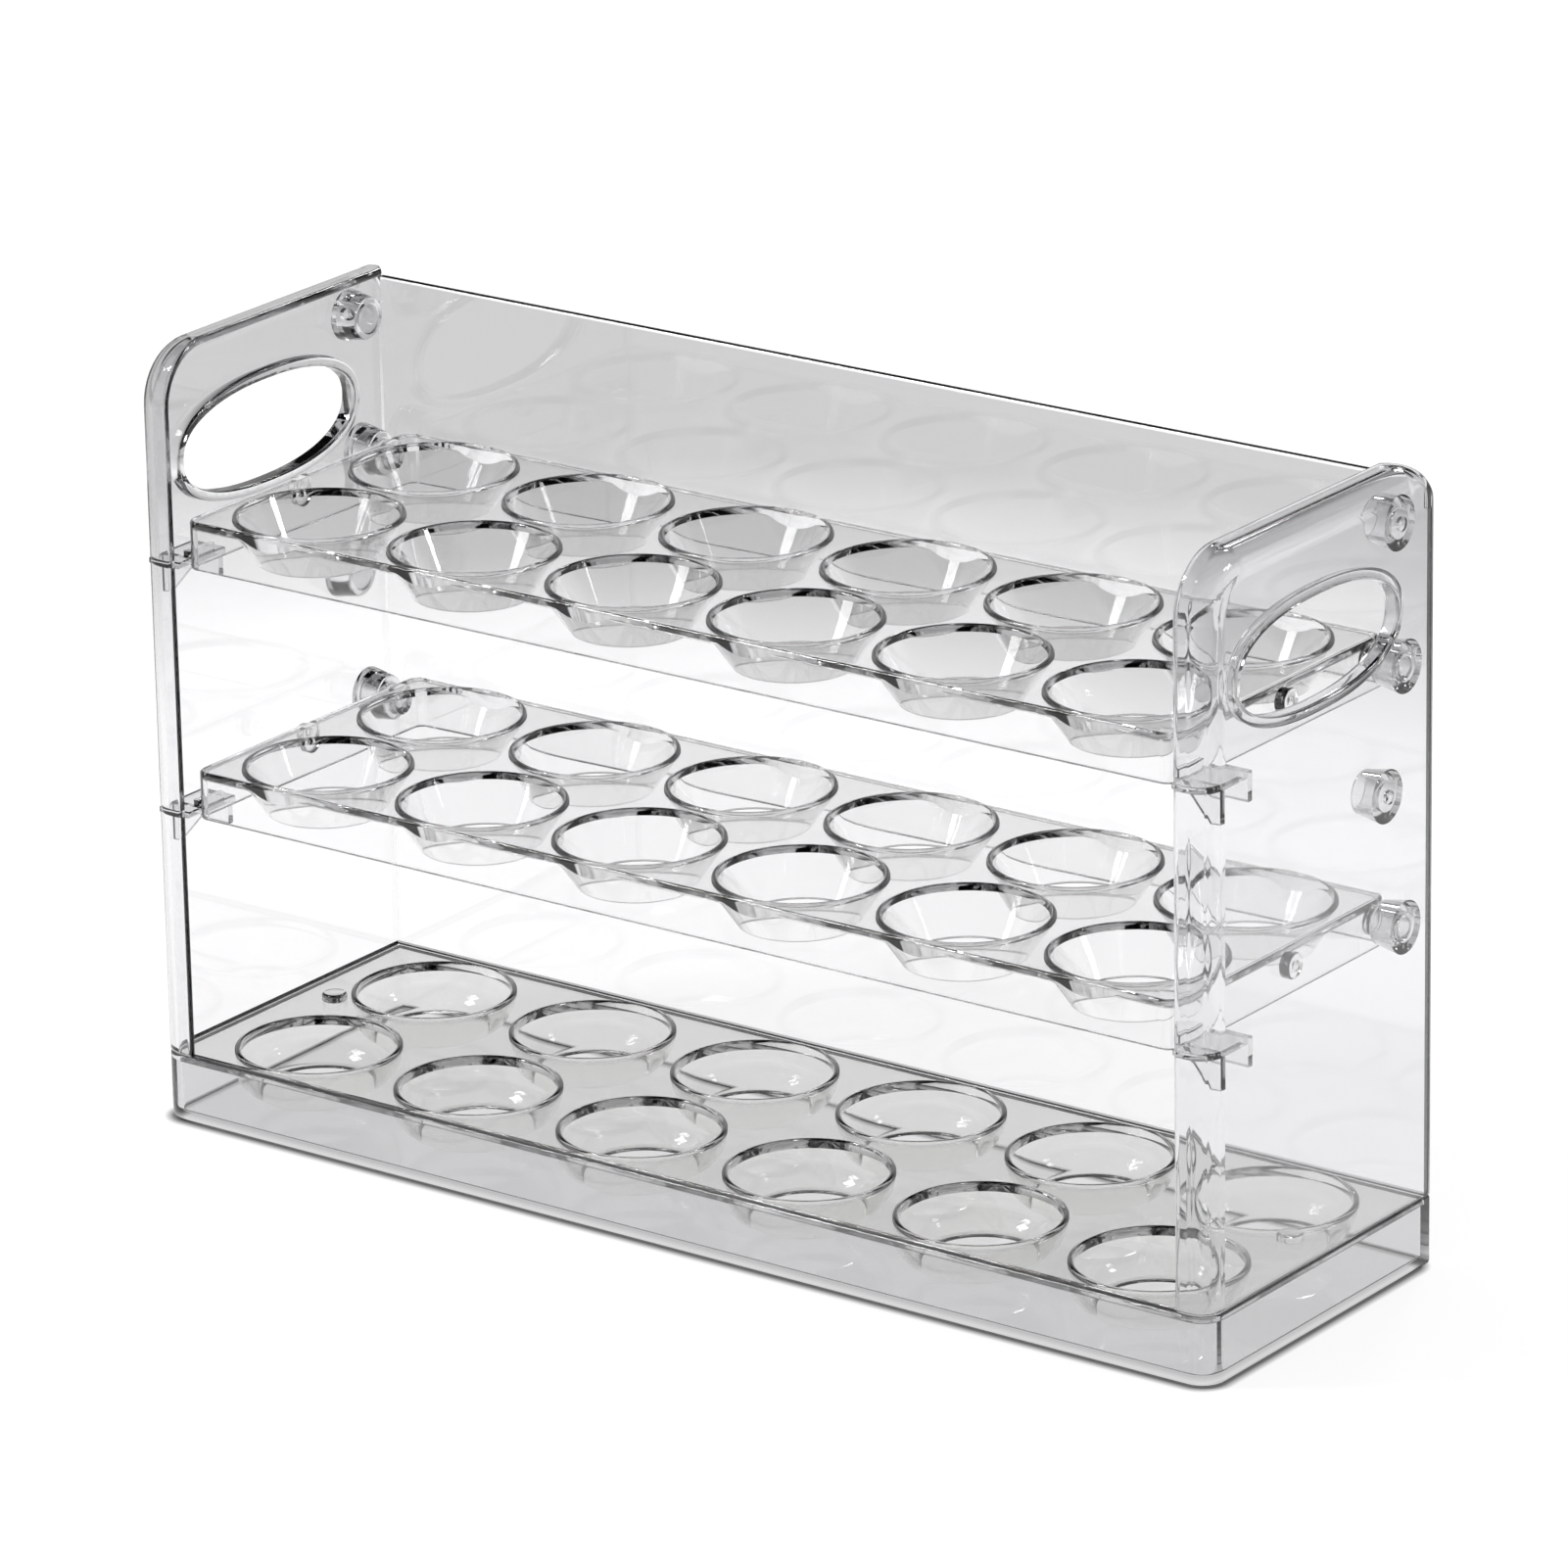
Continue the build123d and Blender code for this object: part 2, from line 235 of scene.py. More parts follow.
base = loft("base_box_moulding", [plan_loop(inset, z) for inset, z in base_profile()])
base_plastic = clear_polystyrene("clear polystyrene base", "#F6F6F7", "#F2F2F3", 60, 60, 0.015)
finish_piece(base, "base_box", "housing", base_plastic)

# Bottom egg plate
# One moulding of the same polystyrene that drops onto the step in the rim. Twelve bowls with rounded rims
# curve in to open bottoms, and two small buttons near the ends help to lift it out.
plate_gap = 0.1
plate_inset = wall + plate_gap
columns = 6
rows = 2
cup_depth = 11.4
cup_hole = 13.9
cup_wall = 1.5
rim_bead = 0.6
bowl_mouth = 20.1
bowl_bulge = 2.0
bowl_end_margin = 8.1
bowl_wall_gap = 0.15
bowl_rim = bowl_mouth + cup_wall
bowl_pitch = 2 * (half_length - plate_inset - bowl_end_margin - bowl_rim) / (columns - 1)
bowl_row_pitch = 2 * (half_depth - wall - plate_step - bowl_wall_gap - bowl_rim)
button_radius = 3.3
button_height = 2.0
button_setback = 11.7
button_y = 5.0


def bowed(start, end, sagitta, steps=10):
    """Points of an arc between two points, the sagitta being its height over the chord."""
    start, end = Vector(start), Vector(end)
    across = Vector((start.y - end.y, end.x - start.x)).normalized()
    points = []
    for k in range(steps + 1):
        t = 2 * k / steps - 1
        points.append(start.lerp(end, k / steps) + across * sagitta * (1 - t * t))
    return points


def round_point(centre, along, radius, height, angle):
    """A point at a radius, height and angle round an upright or a sideways axis through the centre."""
    if along == "Z":
        return (centre[0] + radius * cos(angle), centre[1] + radius * sin(angle), centre[2] + height)
    return (centre[0] + height, centre[1] + radius * cos(angle), centre[2] + radius * sin(angle))


def turned(name, profile, steps=72, centre=(0, 0, 0), along="Z"):
    """A closed profile of (radius, height) turned round an upright or a sideways axis."""
    loops = []
    for k in range(steps):
        angle = 2 * pi * k / steps
        loops.append([round_point(centre, along, radius, height, angle) for radius, height in profile])
    return loft(name, loops, ring=True)


def plug(name, radius, low, high, centre=(0, 0, 0), along="Z", edge=0.3, steps=48):
    """A solid round peg with rounded ends."""
    profile = rounded([(0, low, 0), (radius, low, edge), (radius, high, edge), (0, high, 0)], closed=False)
    angles = [2 * pi * k / steps for k in range(steps)]
    loops = []
    for r, h in profile:
        loops.append([round_point(centre, along, max(r, 0.01), h, angle) for angle in angles])
    return loft(name, loops)


def rim_arc(mouth, rim, height, steps=8):
    """The rounded bead on top of a cup's rim, from its outside to its inside."""
    radius = (rim - mouth) / 2
    middle = height - radius
    points = []
    for k in range(steps + 1):
        angle = pi * k / steps
        points.append((mouth + radius + radius * cos(angle), middle + radius * sin(angle)))
    return points


def cups_in_a_grid():
    """Node tree: cuts a grid of round openings in a plate and joins a moulded cup into each of them."""
    tree = bpy.data.node_groups.new("egg cups in a grid", "GeometryNodeTree")
    sockets = (
        ("Plate", "Geometry"), ("Cup", "Object"), ("Cutter", "Object"), ("Columns", "Int"), ("Rows", "Int"),
        ("Length", "Float"), ("Width", "Float"), ("Middle", "Vector"), ("Plastic", "Material"),
    )
    for label, kind in sockets:
        tree.interface.new_socket(label, in_out="INPUT", socket_type="NodeSocket" + kind)
    tree.interface.new_socket("Tray", in_out="OUTPUT", socket_type="NodeSocketGeometry")
    given = add_node(tree, "NodeGroupInput").outputs
    grid = add_node(tree, "GeometryNodeMeshGrid", {}, {
        "Size X": given["Length"], "Size Y": given["Width"],
        "Vertices X": given["Columns"], "Vertices Y": given["Rows"],
    })
    placed = add_node(tree, "GeometryNodeSetPosition", {}, {
        "Geometry": grid.outputs["Mesh"], "Offset": given["Middle"],
    })
    solids = {}
    for label in ("Cutter", "Cup"):
        source = add_node(tree, "GeometryNodeObjectInfo", {"As Instance": True}, {"Object": given[label]})
        copies = add_node(tree, "GeometryNodeInstanceOnPoints", {}, {
            "Points": placed.outputs[0], "Instance": source.outputs["Geometry"],
        })
        solids[label] = add_node(tree, "GeometryNodeRealizeInstances", {}, {0: copies.outputs[0]}).outputs[0]
    opened = add_node(tree, "GeometryNodeMeshBoolean", {"operation": "DIFFERENCE", "solver": "EXACT"}, {
        "Mesh 1": given["Plate"], "Mesh 2": solids["Cutter"],
    })
    joined = add_node(tree, "GeometryNodeMeshBoolean", {"operation": "UNION", "solver": "EXACT"}, {
        "Mesh 2": opened.outputs[0],
    })
    tree.links.new(solids["Cup"], joined.inputs["Mesh 2"])
    whole = add_node(tree, "GeometryNodeRealizeInstances", {}, {0: joined.outputs[0]})
    painted = add_node(tree, "GeometryNodeSetMaterial", {}, {
        "Geometry": whole.outputs[0], "Material": given["Plastic"],
    })
    add_node(tree, "NodeGroupOutput", {}, {"Tray": painted.outputs[0]})
    return tree


cup_tree = cups_in_a_grid()


def fit_cups(piece, cup, cutter, size, middle, plastic):
    """Runs the cup tree on a plate and keeps the result as a plain mesh."""
    modifier = piece.modifiers.new("cups", "NODES")
    modifier.node_group = cup_tree
    values = {
        "Cup": cup, "Cutter": cutter, "Columns": columns, "Rows": rows, "Plastic": plastic,
        "Length": size[0] * MM, "Width": size[1] * MM, "Middle": [v * MM for v in middle],
    }
    for item in cup_tree.interface.items_tree:
        if item.name in values:
            modifier[item.identifier] = values[item.name]
    settle(piece)
    for tool in (cup, cutter):
        bpy.data.objects.remove(tool)


def bowl_profile():
    """Radius and height of a bowl's wall, from its rim bead down the outside and up the inside."""
    bead_foot = rim_bead - cup_wall / 2
    outside = bowed((bowl_rim, bead_foot), (cup_hole + cup_wall, -cup_depth), bowl_bulge)
    inside = bowed((cup_hole, -cup_depth), (bowl_mouth, bead_foot), -bowl_bulge)
    bead = rim_arc(bowl_mouth, bowl_rim, rim_bead)
    return list(reversed(bead))[:-1] + outside + inside[:-1]


plate_low = rim_z - wall
plate_profile = rounded([
    (middle_inset, plate_low, 0), (plate_inset, plate_low, 0.25), (plate_inset, rim_z, 0.5),
    (middle_inset, rim_z, 0),
], closed=False)
egg_plate = loft("bottom_egg_plate_moulding", [plan_loop(inset, z) for inset, z in plate_profile])
plate_plastic = clear_polystyrene("clear polystyrene egg plate", "#FAFAF9", "#F7F7F5", 18, 45, 0.015)
for side in (-1, 1):
    button_x = side * (half_length - plate_inset - button_setback)
    button = plug("button", button_radius, -0.5, button_height, (button_x, button_y, rim_z), edge=0.8)
    work_with(egg_plate, button, "UNION")
fit_cups(
    egg_plate,
    turned("bowl", bowl_profile(), 96),
    plug("bowl_cutter", bowl_mouth + cup_wall / 2, -wall - 1, 1, edge=0.1, steps=96),
    ((columns - 1) * bowl_pitch, bowl_row_pitch),
    (0, 0, rim_z),
    plate_plastic,
)
finish_piece(egg_plate, "bottom_egg_plate", "housing", plate_plastic)

# Back panel
# A plain clear sheet moulding with a full round top edge. It stands on the base's rim between the two side
# panels, whose lips run down into small notches in its upper corners.
back_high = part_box("back_panel")[1]
back_top = back_high[2] / MM
back_half = back_high[0] / MM
sheet = 2.2
top_round = 0.95
joint_gap = 0.05
foot_z = rim_z + joint_gap
foot_bevel = 0.5
back_inner_y = half_depth - joint_gap - sheet
panel_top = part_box("right_side_panel")[1][2] / MM
top_rear_corner = 10.0
lip_tail = 2.0
lip_end_z = panel_top - top_rear_corner - lip_tail
lip_tip = 1.0
notch_gap = 0.1
inner_x = half_length - wall


def block(name, low, high, edge=0.2):
    """A rectangular block between two corners in millimetres, bevelled round its top and its foot."""
    (x0, y0, z0), (x1, y1, z1) = low, high
    loops = []
    for z, inset in ((z0, edge), (z0 + edge, 0), (z1 - edge, 0), (z1, edge)):
        corners = (
            (x0 + inset, y0 + inset), (x1 - inset, y0 + inset),
            (x1 - inset, y1 - inset), (x0 + inset, y1 - inset),
        )
        loops.append([(x, y, z) for x, y in corners])
    return loft(name, loops)


def bevel_ring():
    """A ring that bevels the outer lower edge of the upright panels, where they stand on the base's rim."""
    over = 0.3
    section = (
        (-over, foot_z - over), (-over, foot_z + foot_bevel + over), (foot_bevel + over, foot_z - over),
    )
    loops = [plan_loop(inset, z) for inset, z in section]
    return loft("foot_bevel", list(zip(*loops)), ring=True)


sheet_outline = rounded([
    (back_inner_y, foot_z, 0.3), (back_inner_y, back_top, top_round),
    (back_inner_y + sheet, back_top, top_round), (back_inner_y + sheet, foot_z, 0.3),
], steps=8)
back = loft("back_panel_sheet", [[(x, y, z) for y, z in sheet_outline] for x in (-back_half, back_half)])
for side in (-1, 1):
    notch_x = sorted((side * (inner_x - lip_tip - notch_gap), side * (half_length + 5)))
    notch = block("corner_notch", (notch_x[0], 0, lip_end_z - notch_gap), (notch_x[1], 100, 300))
    work_with(back, notch, "DIFFERENCE")
work_with(back, bevel_ring(), "DIFFERENCE")
back_plastic = clear_polystyrene("clear polystyrene back sheet", "#F8F8F9", "#F5F5F6", 30, 80, 0.01)
finish_piece(back, "back_panel", "housing", back_plastic)

# Side panels
# Left and right are mirror images, each one moulding: a thin sheet, a lip that runs up the front and over
# the top to the rear corner, a rimmed finger hole, four round bosses and the ledges for the trays.
lip_reach = 10.2
lip_x = half_length - lip_reach
lip_overlap = 2.0
top_front_corner = 16.0
tray_tops = [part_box(node)[1][2] / MM - rim_bead for node in ("middle_flip_tray", "top_flip_tray")]
tray_height = tray_tops[0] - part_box("middle_flip_tray")[0][2] / MM
tray_end_gap = 1.9
tray_end = lip_x - tray_end_gap
root_x = inner_x + 0.5
hinge_y = 37.5
hinge_drop = 4.4
bore_radius = 3.86
boss_root_wall = 3.0
boss_tip_wall = 1.65
boss_root = bore_radius + boss_root_wall
boss_tip = bore_radius + boss_tip_wall
boss_setback = 2.9
boss_face = tray_end + boss_setback
vent_radius = 1.8
catch_radius = 36.8
passing_gap = 1.7
middle_flip = acos((tray_height + rim_bead + passing_gap) / (tray_tops[1] - tray_tops[0]))
top_extra_flip = radians(8)
flip_angles = (middle_flip, middle_flip + top_extra_flip)
grip_y = -1.0
grip_drop = 33.5
grip_z = panel_top - grip_drop
grip_half_length = 34.0
grip_half_height = 13.2
grip_in = 2.4
grip_rim = 2.6
ledge_width = 9.3
ledge_depth = 17.45
ledge_thickness = 1.8
flange_wall = 1.8
flange_height = 6.0
gusset_setback = 4.55
gusset_wall = 1.5
gusset_height = 8.3
gusset_foot = 2.0


def side_path(inset):
    """The front edge, top and rear corner of a side panel seen from the end, moved in by a wall."""
    front = inset - half_depth
    top = panel_top - inset
    return rounded([
        (front, foot_z, 0), (front, top, top_front_corner - inset), (-front, top, top_rear_corner - inset),
        (-front, lip_end_z, 0),
    ], closed=False, steps=10)


def lip_band():
    """The L-shaped lip, swept up the front, over the top and down the rear corner.

    The path has points 0 to 11 up to the end of the front arc and 12 to 22 in the rear arc. There the lip's
    outer rounding sharpens to the rear edge's, and its reach over the back panel narrows to a tip.
    """
    reach = front_corner + lip_overlap
    rear_arc = 12
    stations = []
    for k in range(len(side_path(0))):
        sharpen = min(max((k - rear_arc) / 9, 0), 1)
        narrow = min(max((k - rear_arc) / 5, 0), 1)
        tip_x = lip_x + (inner_x - lip_tip - lip_x) * narrow
        edge = 1.0 - 0.7 * narrow
        outer = front_corner - 0.01 + (rear_corner - front_corner) * sharpen
        section = rounded([
            (0, tip_x, edge), (0, half_length, outer), (reach, half_length, 0), (reach, inner_x, 0),
            (wall, inner_x, max(outer - wall, 0.3)), (wall, tip_x, edge),
        ], steps=6)
        path = [side_path(inset)[k] for inset, _ in section]
        stations.append([(x, point.x, point.y) for point, (_, x) in zip(path, section)])
    return loft("side_lip", stations)


def panel_sheet():
    """The flat sheet inside the lip, full depth below the rear corner."""
    inset = front_corner + lip_overlap / 2
    front = inset - half_depth
    outline = rounded([
        (front, foot_z, 0), (front, panel_top - inset, top_front_corner - inset),
        (-front, panel_top - inset, top_rear_corner - inset), (-front, lip_end_z, 0),
        (half_depth, lip_end_z, 0), (half_depth, foot_z, 0),
    ])
    return loft("side_sheet", [[(x, y, z) for y, z in outline] for x in (inner_x, half_length)])


def grip_loop(grow, x, steps=96):
    """The finger hole's outline, a rounded oval (a superellipse) grown outwards by an offset."""
    power = 2.3
    loop = []
    for k in range(steps):
        angle = 2 * pi * k / steps
        c, s = cos(angle), sin(angle)
        y_sign = 1 if c >= 0 else -1
        z_sign = 1 if s >= 0 else -1
        y = grip_half_length * (abs(c) ** (2 / power)) * y_sign
        z = grip_half_height * (abs(s) ** (2 / power)) * z_sign
        out = Vector((
            (abs(y) / grip_half_length) ** (power - 1) / grip_half_length * (1 if y >= 0 else -1),
            (abs(z) / grip_half_height) ** (power - 1) / grip_half_height * (1 if z >= 0 else -1),
        )).normalized()
        loop.append((x, grip_y + y + out.x * grow, grip_z + z + out.y * grow))
    return loop


def add_bosses(panel):
    """A hinge boss and a catch boss for each tray, with a vent through the sheet behind each catch."""
    boss = rounded([
        (bore_radius, boss_face, 0.35), (boss_tip, boss_face, 0.5),
        (boss_root, root_x, 0), (bore_radius, root_x, 0),
    ])
    for tray_top, flip_angle in zip(tray_tops, flip_angles):
        hinge_z = tray_top - hinge_drop
        catch_y = hinge_y - catch_radius * cos(flip_angle)
        catch_z = hinge_z + catch_radius * sin(flip_angle)
        for place in ((0, hinge_y, hinge_z), (0, catch_y, catch_z)):
            work_with(panel, turned("boss", boss, 48, place, "X"), "UNION")
        vent = plug("vent", vent_radius, inner_x - 1, half_length + 1, (0, catch_y, catch_z), "X", 0.1)
        work_with(panel, vent, "DIFFERENCE")


def add_finger_hole(panel):
    """The finger hole with its raised rim on the inside, opened out at both faces."""
    rim_face = inner_x - grip_in
    rim_profile = rounded([
        (-1.0, rim_face, 0), (grip_rim, rim_face, 0.9), (grip_rim + 0.3, root_x, 0), (-1.0, root_x, 0),
    ])
    work_with(panel, loft("grip_rim", [grip_loop(grow, x) for grow, x in rim_profile], ring=True), "UNION")
    hole_profile = [
        (1.2, rim_face - 0.5), (0.25, rim_face + 0.25), (0, rim_face + 0.7),
        (0, half_length - 0.6), (0.3, half_length - 0.2), (1.0, half_length + 0.3),
    ]
    work_with(panel, loft("grip_hole", [grip_loop(grow, x) for grow, x in hole_profile]), "DIFFERENCE")


def add_ledges(panel):
    """Under each tray a ledge with a hanging flange at its end and a wedge-shaped gusset beneath."""
    inner_front = wall - half_depth
    ledge_x = inner_x - ledge_width
    flange_y = inner_front + ledge_depth
    rib_y = inner_front + gusset_setback
    for tray_top in tray_tops:
        shelf_z = tray_top - tray_height + ledge_thickness
        low_z = shelf_z - ledge_thickness
        shelf = block("ledge", (ledge_x, inner_front - 0.5, low_z), (root_x, flange_y, shelf_z), 0.3)
        flange_low = (ledge_x, flange_y - flange_wall, low_z - flange_height)
        flange = block("ledge_flange", flange_low, (root_x, flange_y, shelf_z - 0.5), 0.3)
        wedge = [
            (ledge_x, low_z + 0.5), (ledge_x, low_z), (inner_x - gusset_foot, low_z - gusset_height),
            (root_x, low_z - gusset_height), (root_x, low_z + 0.5),
        ]
        gusset = loft("gusset", [[(x, y, z) for x, z in wedge] for y in (rib_y, rib_y + gusset_wall)])
        for part in (shelf, flange, gusset):
            work_with(panel, part, "UNION")


def round_rear_edge(panel):
    """Rounds the panel's upright rear edge up to the end of the lip."""
    x = half_length - rear_corner
    y = half_depth - rear_corner
    arc = [(x + rear_corner * sin(pi * k / 12), y + rear_corner * cos(pi * k / 12)) for k in range(7)]
    outline = arc + [(half_length + 1, y), (half_length + 1, half_depth + 1), (x, half_depth + 1)]
    cutter = loft("rear_edge_round", [[(u, v, z) for u, v in outline] for z in (rim_z - 1, lip_end_z)])
    work_with(panel, cutter, "DIFFERENCE")


right = lip_band()
right.name = "right_side_panel_moulding"
work_with(right, panel_sheet(), "UNION")
add_bosses(right)
add_finger_hole(right)
add_ledges(right)
round_rear_edge(right)
work_with(right, bevel_ring(), "DIFFERENCE")
left = bpy.data.objects.new("left_side_panel_moulding", right.data.copy())
bpy.context.scene.collection.objects.link(left)
left.data.transform(Matrix.Scale(-1, 4, (1, 0, 0)))
left.data.flip_normals()
side_plastic = clear_polystyrene("clear polystyrene side panel", "#F9F9FA", "#F6F6F7", 36, 70, 0.015)
finish_piece(right, "right_side_panel", "housing", side_plastic)
finish_piece(left, "left_side_panel", "housing", side_plastic)

# Flip trays
# The middle and the top tier are the same moulding: a thin plate with a skirt, twelve open cone cups with
# rounded rims, two hollow hinge pins at the back and two catch studs half way along the ends.
tray_mouth = 20.4
tray_rim = tray_mouth + cup_wall
tray_front_gap = 1.05
tray_rear_gap = 1.3
tray_front_y = wall - half_depth + tray_front_gap
tray_rear_y = back_inner_y - tray_rear_gap
tray_y = (tray_front_y + tray_rear_y) / 2
tray_half_depth = (tray_rear_y - tray_front_y) / 2
tray_corner = 4.0
tray_middle_inset = 25
tray_end_margin = 4.0
tray_row_margin = 0.25
tray_pitch = 2 * (tray_end - tray_end_margin - tray_rim) / (columns - 1)
tray_row_pitch = 2 * (tray_half_depth - tray_row_margin - tray_rim)
plate = 2.0
skirt_wall = 1.8
rear_round = 1.5
peg_root = tray_end - 1.0
pin_radius = 3.8
pin_end_gap = 0.4
pin_end = inner_x - pin_end_gap
pin_core_radius = 2.3
pin_core_depth = 6.5
stud_radius = 3.4
stud_reach = 2.6
stud_end = tray_end + stud_reach
stud_core_radius = 1.2
stud_core_depth = 1.5
lug_setback = 2.55
lug_length = 10.0
lug_height = 2.5
lug_reach = 1.5
lug_gap = 0.2


def tray_loop(inset, z, steps=8):
    """A tray's outline from above at one height, moved in by a wall."""
    radius = max(tray_corner - inset, 0.3)
    x = tray_end - inset
    y = tray_half_depth - inset
    outline = rounded([(-x, -y, radius), (x, -y, radius), (x, y, radius), (-x, y, radius)], steps=steps)
    return [(point.x, point.y + tray_y, z) for point in outline]


def cone_profile():
    """Radius and height of a cup's wall, from its rim bead down the outside and up the inside."""
    bead = rim_arc(tray_mouth, tray_rim, rim_bead)
    low = rounded([
        (tray_rim, -plate, 0), (cup_hole + cup_wall, -cup_depth, 0.4), (cup_hole, -cup_depth, 0.4),
        (tray_mouth, rim_bead - cup_wall / 2, 0),
    ], closed=False)
    return list(reversed(bead)) + low[:-1]


def add_peg(tray, name, side, radius, end, edge, core, place):
    """A hollow round peg that stands out sideways from one end of a tray."""
    core_radius, core_depth = core
    profile = rounded([
        (0.01, peg_root, 0), (radius, peg_root, 0), (radius, end, edge), (core_radius, end, 0.3),
        (core_radius, end - core_depth, 0.2), (0.01, end - core_depth, 0),
    ])
    profile = [(r, side * x) for r, x in profile]
    work_with(tray, turned(name, profile, 48, place, "X"), "UNION")


def round_rear_top(tray, tray_top):
    """Rounds the tray's rear top edge, so that it clears the back panel when the tray flips."""
    y = tray_rear_y - rear_round
    z = tray_top - rear_round
    outline = [(y, tray_top + 1)]
    outline += [(y + rear_round * sin(pi * k / 16), z + rear_round * cos(pi * k / 16)) for k in range(9)]
    outline += [(tray_rear_y + 1, z), (tray_rear_y + 1, tray_top + 1)]
    cutter = loft("rear_round", [[(x, u, v) for u, v in outline] for x in (-half_length, half_length)])
    work_with(tray, cutter, "DIFFERENCE")


def flip_tray(name, tray_top, plastic):
    """One flip tray at its rest height."""
    low = tray_top - tray_height
    profile = rounded([
        (tray_middle_inset, tray_top, 0), (0, tray_top, 0.8), (0, low, 0.4), (skirt_wall, low, 0.3),
        (skirt_wall, tray_top - plate, 0.5), (tray_middle_inset, tray_top - plate, 0),
    ], closed=False)
    tray = loft(name, [tray_loop(inset, z) for inset, z in profile])
    round_rear_top(tray, tray_top)
    hinge_z = tray_top - hinge_drop
    hinge = (0, hinge_y, hinge_z)
    catch = (0, hinge_y - catch_radius, hinge_z)
    lug_y = wall - half_depth + lug_setback
    lug_z = low + ledge_thickness + lug_gap
    for side in (-1, 1):
        pin_core = (pin_core_radius, pin_core_depth)
        add_peg(tray, "hinge_pin", side, pin_radius, pin_end, 0.5, pin_core, hinge)
        stud_core = (stud_core_radius, stud_core_depth)
        add_peg(tray, "catch_stud", side, stud_radius, stud_end, 0.6, stud_core, catch)
        lug_x = sorted((side * peg_root, side * (tray_end + lug_reach)))
        lug_low = (lug_x[0], lug_y, lug_z)
        lug_high = (lug_x[1], lug_y + lug_length, lug_z + lug_height)
        work_with(tray, block("rest_lug", lug_low, lug_high, 0.3), "UNION")
    fit_cups(
        tray,
        turned("cup", cone_profile(), 96),
        plug("cup_cutter", tray_mouth + cup_wall / 2, -plate - 1, 1, edge=0.1, steps=96),
        ((columns - 1) * tray_pitch, tray_row_pitch),
        (0, tray_y, tray_top),
        plastic,
    )
    return tray


tray_plastic = clear_polystyrene("clear polystyrene flip tray", "#FCFCFC", "#FAFAFA", 18, 40, 0.015)
for node, body, tray_top in (
    ("middle_flip_tray", "middle_tray", tray_tops[0]), ("top_flip_tray", "top_tray", tray_tops[1]),
):
    tray = flip_tray(node + "_moulding", tray_top, tray_plastic)
    finish_piece(tray, node, body, tray_plastic)

# Studio
# A white paper floor with a painted pool of light in its glow, which the clear walls show bright near the
# holder and greyer further back, a surround that is white to the eye and dark overhead in the plastic, and
# three soft lamps.
floor_mesh = bpy.data.meshes.new("floor")
floor_mesh.from_pydata([(-6, -6, 0), (6, -6, 0), (6, 6, 0), (-6, 6, 0)], [], [(0, 1, 2, 3)])
floor = bpy.data.objects.new("floor", floor_mesh)
bpy.context.scene.collection.objects.link(floor)


def ray_kinds(tree):
    """Light Path's outputs, and a value of 1 for rays that come by way of the clear plastic."""
    rays = add_node(tree, "ShaderNodeLightPath").outputs
    through = add_node(tree, "ShaderNodeMath", {"operation": "ADD", "use_clamp": True}, {
        0: rays["Is Glossy Ray"], 1: rays["Is Transmission Ray"],
    })
    return rays, through.outputs[0]


def outside_of(tree, folded, half_size):
    """How far a point of the floor lies outside a rectangle, in metres, and 0 inside it."""
    past = add_node(tree, "ShaderNodeVectorMath", {"operation": "SUBTRACT", 1: half_size}, {0: folded})
    past = add_node(tree, "ShaderNodeVectorMath", {"operation": "MAXIMUM", 1: (0, 0, 0)}, {
        0: past.outputs[0],
    })
    length = add_node(tree, "ShaderNodeVectorMath", {"operation": "LENGTH"}, {0: past.outputs[0]})
    return length.outputs["Value"]


# Matt paper: a faint fleck, of which the eye sees a share under an even glow, so that shadows stay pale
paper = bpy.data.materials.new("matt white paper sweep")
paper.use_nodes = True
tree = paper.node_tree
tree.nodes.clear()
floor_place = add_node(tree, "ShaderNodeTexCoord").outputs["Object"]
seen_rays, through = ray_kinds(tree)
grain = add_node(tree, "ShaderNodeTexNoise", {"Scale": 400.0, "Detail": 2.0}, {"Vector": floor_place})
fleck = add_node(tree, "ShaderNodeMix", {"data_type": "RGBA"}, {"Factor": grain.outputs["Fac"]})
fleck.inputs[6].default_value = linear("#F2F2F2")
fleck.inputs[7].default_value = linear("#EEEEEE")
share = add_node(tree, "ShaderNodeMix", {"data_type": "RGBA", "blend_type": "MULTIPLY", 0: 1.0}, {
    6: fleck.outputs[2],
})
share.inputs[7].default_value = (0.3, 0.3, 0.3, 1)
lit = add_node(tree, "ShaderNodeMix", {"data_type": "RGBA"}, {
    0: seen_rays["Is Diffuse Ray"], 6: share.outputs[2], 7: fleck.outputs[2],
})
matt = add_node(tree, "ShaderNodeBsdfDiffuse", {}, {"Color": lit.outputs[2]})
folded = add_node(tree, "ShaderNodeVectorMath", {"operation": "ABSOLUTE"}, {0: floor_place}).outputs[0]
# Painted pool of light in the glow that the plastic shows, with painted shade further away: 1 up to 0.32 m
# from the holder, 0.5 at 0.5 m, and 0.3 from 1.1 m on
painted_pool_middle = (0.15, 0.04, 0)
away = outside_of(tree, folded, painted_pool_middle)
painted_pool_falloff = add_node(tree, "ShaderNodeMapRange", {
    "From Min": 0.32, "From Max": 0.5, "To Min": 0.0, "To Max": 0.5,
}, {"Value": away})
painted_far_shade = add_node(tree, "ShaderNodeMapRange", {
    "From Min": 0.75, "From Max": 1.1, "To Min": 0.0, "To Max": 0.2,
}, {"Value": away})
painted_light_pool = add_node(tree, "ShaderNodeMath", {"operation": "SUBTRACT", 0: 1.0}, {1: painted_pool_falloff.outputs[0]})
painted_light_pool = add_node(tree, "ShaderNodeMath", {"operation": "SUBTRACT"}, {
    0: painted_light_pool.outputs[0], 1: painted_far_shade.outputs[0],
})
